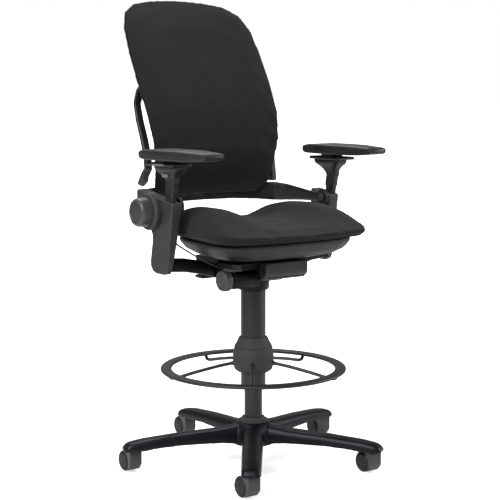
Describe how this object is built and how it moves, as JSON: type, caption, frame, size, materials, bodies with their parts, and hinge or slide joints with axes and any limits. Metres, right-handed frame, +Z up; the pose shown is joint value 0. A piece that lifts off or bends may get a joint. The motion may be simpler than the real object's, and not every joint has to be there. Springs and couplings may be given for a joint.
{
  "type": "drafting chair",
  "caption": "Tall swivel drafting chair with a sliding foot ring, five-arm caster base, adjustable armrests and a reclining upholstered back.",
  "frame": {"origin": "on the floor, at the centre of the chair's outline seen from above; the column's axis stands 40 mm ahead of it", "axes": "+Z up; the sitter faces -Y; +X is the sitter's left"},
  "size_m": [0.6819, 0.6767, 1.23],
  "materials": {
    "ring_paint": "black paint, satin",
    "base_paint": "satin",
    "column_paint": "semi-gloss",
    "mechanism_paint": "satin",
    "trim_plastic": "matte",
    "arm_plastic": "fine matte texture",
    "grey_plastic": "matte",
    "knob_plastic": "satin",
    "button_plastic": "satin",
    "caster_plastic": "satin",
    "caster_tread": "matte",
    "pad_urethane": "soft matte",
    "steel": "ground",
    "seat_fabric": "woven",
    "back_fabric": "woven",
    "cable_sheath": "smooth"
  },
  "bodies": {
    "base": {"base_star": "base_paint", "base_collar": "trim_plastic", "lower_tube": "column_paint", "guide_bush": "grey_plastic", "piston_rod": "steel"},
    "caster_1": {"caster_hood_1": "caster_plastic"},
    "wheel_1_right": {"wheel_1_right": "caster_tread"},
    "wheel_1_left": {"wheel_1_left": "caster_tread"},
    "caster_2": {"caster_hood_2": "caster_plastic"},
    "wheel_2_right": {"wheel_2_right": "caster_tread"},
    "wheel_2_left": {"wheel_2_left": "caster_tread"},
    "caster_3": {"caster_hood_3": "caster_plastic"},
    "wheel_3_right": {"wheel_3_right": "caster_tread"},
    "wheel_3_left": {"wheel_3_left": "caster_tread"},
    "caster_4": {"caster_hood_4": "caster_plastic"},
    "wheel_4_right": {"wheel_4_right": "caster_tread"},
    "wheel_4_left": {"wheel_4_left": "caster_tread"},
    "caster_5": {"caster_hood_5": "caster_plastic"},
    "wheel_5_right": {"wheel_5_right": "caster_tread"},
    "wheel_5_left": {"wheel_5_left": "caster_tread"},
    "lift": {"gas_cylinder": "column_paint", "upper_sleeve": "column_paint", "sleeve_bush": "grey_plastic"},
    "ring": {"ring_hub": "trim_plastic", "foot_ring": "ring_paint"},
    "ring_lock": {"ring_lock_collar": "trim_plastic"},
    "chassis": {"mechanism_housing": "mechanism_paint", "front_cover": "trim_plastic", "cross_tube": "mechanism_paint", "side_bar_right": "mechanism_paint", "side_bar_left": "mechanism_paint", "control_cable": "cable_sheath", "arm_upright_right": "arm_plastic", "arm_upright_left": "arm_plastic", "pivot_pin_right": "trim_plastic", "pivot_pin_left": "trim_plastic"},
    "firmness_knob": {"firmness_knob": "knob_plastic"},
    "tension_knob": {"tension_knob": "knob_plastic"},
    "height_lever": {"height_lever": "knob_plastic"},
    "arm_right": {"arm_stem_right": "arm_plastic"},
    "arm_button_right": {"arm_button_right": "button_plastic"},
    "arm_slider_right": {"arm_slider_right": "arm_plastic"},
    "arm_turntable_right": {"arm_turntable_right": "trim_plastic"},
    "arm_pad_right": {"arm_pad_right": "pad_urethane"},
    "arm_left": {"arm_stem_left": "arm_plastic"},
    "arm_button_left": {"arm_button_left": "button_plastic"},
    "arm_slider_left": {"arm_slider_left": "arm_plastic"},
    "arm_turntable_left": {"arm_turntable_left": "trim_plastic"},
    "arm_pad_left": {"arm_pad_left": "pad_urethane"},
    "carriage": {"seat_carriage": "mechanism_paint"},
    "seat": {"seat_pan": "trim_plastic", "seat_cushion": "seat_fabric"},
    "depth_lever": {"depth_lever": "knob_plastic"},
    "back": {"back_yoke": "arm_plastic", "back_shell": "trim_plastic", "back_cushion": "back_fabric", "back_upright_right": "arm_plastic", "back_upright_left": "arm_plastic"}
  },
  "joints": [
    {"name": "seat_lift", "type": "slide", "parent": "base", "child": "lift", "axis": [0, 0, 1], "range_m": [-0.06, 0.15]},
    {"name": "foot_ring_slide", "type": "slide", "parent": "lift", "child": "ring", "axis": [0, 0, 1], "range_m": [-0.035, 0.1]},
    {"name": "seat_swivel", "type": "hinge", "parent": "lift", "child": "chassis", "pos_m": [0, -0.04, 0.5], "axis": [0, 0, 1], "continuous": true},
    {"name": "recline", "type": "hinge", "parent": "chassis", "child": "back", "pos_m": [0, -0.04, 0.697], "axis": [-1, 0, 0], "range_deg": [0, 20], "stiffness_Nm_per_rad": 90, "springref_deg": -20.05},
    {"name": "seat_glide", "type": "slide", "parent": "chassis", "child": "carriage", "axis": [0, -1, 0], "range_m": [0, 0.031]},
    {"name": "seat_depth", "type": "slide", "parent": "carriage", "child": "seat", "axis": [0, -1, 0], "range_m": [0, 0.055]},
    {"name": "ring_lock_twist", "type": "hinge", "parent": "ring", "child": "ring_lock", "pos_m": [0, -0.04, 0.328], "axis": [0, 0, 1], "range_deg": [0, 45]},
    {"name": "firmness_knob_turn", "type": "hinge", "parent": "chassis", "child": "firmness_knob", "pos_m": [-0.2675, 0.028, 0.68], "axis": [-1, 0, 0], "range_deg": [0, 270]},
    {"name": "tension_knob_turn", "type": "hinge", "parent": "chassis", "child": "tension_knob", "pos_m": [-0.144, -0.132, 0.512], "axis": [-1, 0, 0], "range_deg": [0, 720]},
    {"name": "height_lever_lift", "type": "hinge", "parent": "chassis", "child": "height_lever", "pos_m": [-0.0555, 0.016, 0.508], "axis": [0, 1, 0], "range_deg": [0, 5], "stiffness_Nm_per_rad": 3, "springref_deg": -6.88},
    {"name": "arm_height_right", "type": "slide", "parent": "chassis", "child": "arm_right", "axis": [0, -0.1392, 0.9903], "range_m": [-0.008, 0.09]},
    {"name": "arm_button_press_right", "type": "slide", "parent": "arm_right", "child": "arm_button_right", "axis": [1, 0, 0], "range_m": [0, 0.0025], "stiffness_N_per_m": 300, "springref_m": -0.002},
    {"name": "arm_width_right", "type": "slide", "parent": "arm_right", "child": "arm_slider_right", "axis": [-1, 0, 0], "range_m": [-0.025, 0.01]},
    {"name": "arm_pivot_right", "type": "hinge", "parent": "arm_slider_right", "child": "arm_turntable_right", "pos_m": [-0.261, -0.04195, 0.8074], "axis": [0, 0, 1], "range_deg": [-30, 30]},
    {"name": "arm_depth_right", "type": "slide", "parent": "arm_turntable_right", "child": "arm_pad_right", "axis": [0, -1, 0], "range_m": [-0.03, 0.03]},
    {"name": "arm_height_left", "type": "slide", "parent": "chassis", "child": "arm_left", "axis": [0, -0.1392, 0.9903], "range_m": [-0.008, 0.09]},
    {"name": "arm_button_press_left", "type": "slide", "parent": "arm_left", "child": "arm_button_left", "axis": [-1, 0, 0], "range_m": [0, 0.0025], "stiffness_N_per_m": 300, "springref_m": -0.002},
    {"name": "arm_width_left", "type": "slide", "parent": "arm_left", "child": "arm_slider_left", "axis": [1, 0, 0], "range_m": [-0.025, 0.01]},
    {"name": "arm_pivot_left", "type": "hinge", "parent": "arm_slider_left", "child": "arm_turntable_left", "pos_m": [0.261, -0.04195, 0.8074], "axis": [0, 0, 1], "range_deg": [-30, 30]},
    {"name": "arm_depth_left", "type": "slide", "parent": "arm_turntable_left", "child": "arm_pad_left", "axis": [0, -1, 0], "range_m": [-0.03, 0.03]},
    {"name": "depth_lever_lift", "type": "hinge", "parent": "seat", "child": "depth_lever", "pos_m": [-0.154, -0.182, 0.556], "axis": [0, 1, 0], "range_deg": [0, 4], "stiffness_Nm_per_rad": 1, "springref_deg": -6.88},
    {"name": "caster_swivel_1", "type": "hinge", "parent": "base", "child": "caster_1", "pos_m": [0.00512, 0.28596, 0.0572], "axis": [0, 0, 1], "continuous": true},
    {"name": "caster_swivel_2", "type": "hinge", "parent": "base", "child": "caster_2", "pos_m": [-0.30842, 0.0656, 0.0572], "axis": [0, 0, 1], "continuous": true},
    {"name": "caster_swivel_3", "type": "hinge", "parent": "base", "child": "caster_3", "pos_m": [-0.19574, -0.3007, 0.0572], "axis": [0, 0, 1], "continuous": true},
    {"name": "caster_swivel_4", "type": "hinge", "parent": "base", "child": "caster_4", "pos_m": [0.18745, -0.30672, 0.0572], "axis": [0, 0, 1], "continuous": true},
    {"name": "caster_swivel_5", "type": "hinge", "parent": "base", "child": "caster_5", "pos_m": [0.31159, 0.05586, 0.0572], "axis": [0, 0, 1], "continuous": true},
    {"name": "wheel_spin_1_right", "type": "hinge", "parent": "caster_1", "child": "wheel_1_right", "pos_m": [0.00512, 0.31096, 0.027], "axis": [1, 0, 0], "continuous": true},
    {"name": "wheel_spin_1_left", "type": "hinge", "parent": "caster_1", "child": "wheel_1_left", "pos_m": [0.00512, 0.31096, 0.027], "axis": [1, 0, 0], "continuous": true},
    {"name": "wheel_spin_2_right", "type": "hinge", "parent": "caster_2", "child": "wheel_2_right", "pos_m": [-0.30842, 0.0906, 0.027], "axis": [1, 0, 0], "continuous": true},
    {"name": "wheel_spin_2_left", "type": "hinge", "parent": "caster_2", "child": "wheel_2_left", "pos_m": [-0.30842, 0.0906, 0.027], "axis": [1, 0, 0], "continuous": true},
    {"name": "wheel_spin_3_right", "type": "hinge", "parent": "caster_3", "child": "wheel_3_right", "pos_m": [-0.19574, -0.2757, 0.027], "axis": [1, 0, 0], "continuous": true},
    {"name": "wheel_spin_3_left", "type": "hinge", "parent": "caster_3", "child": "wheel_3_left", "pos_m": [-0.19574, -0.2757, 0.027], "axis": [1, 0, 0], "continuous": true},
    {"name": "wheel_spin_4_right", "type": "hinge", "parent": "caster_4", "child": "wheel_4_right", "pos_m": [0.18745, -0.28172, 0.027], "axis": [1, 0, 0], "continuous": true},
    {"name": "wheel_spin_4_left", "type": "hinge", "parent": "caster_4", "child": "wheel_4_left", "pos_m": [0.18745, -0.28172, 0.027], "axis": [1, 0, 0], "continuous": true},
    {"name": "wheel_spin_5_right", "type": "hinge", "parent": "caster_5", "child": "wheel_5_right", "pos_m": [0.31159, 0.08086, 0.027], "axis": [1, 0, 0], "continuous": true},
    {"name": "wheel_spin_5_left", "type": "hinge", "parent": "caster_5", "child": "wheel_5_left", "pos_m": [0.31159, 0.08086, 0.027], "axis": [1, 0, 0], "continuous": true}
  ],
  "couplings": [
    {"joint": "seat_glide", "follows": "recline", "m_per_rad": 0.086}
  ]
}
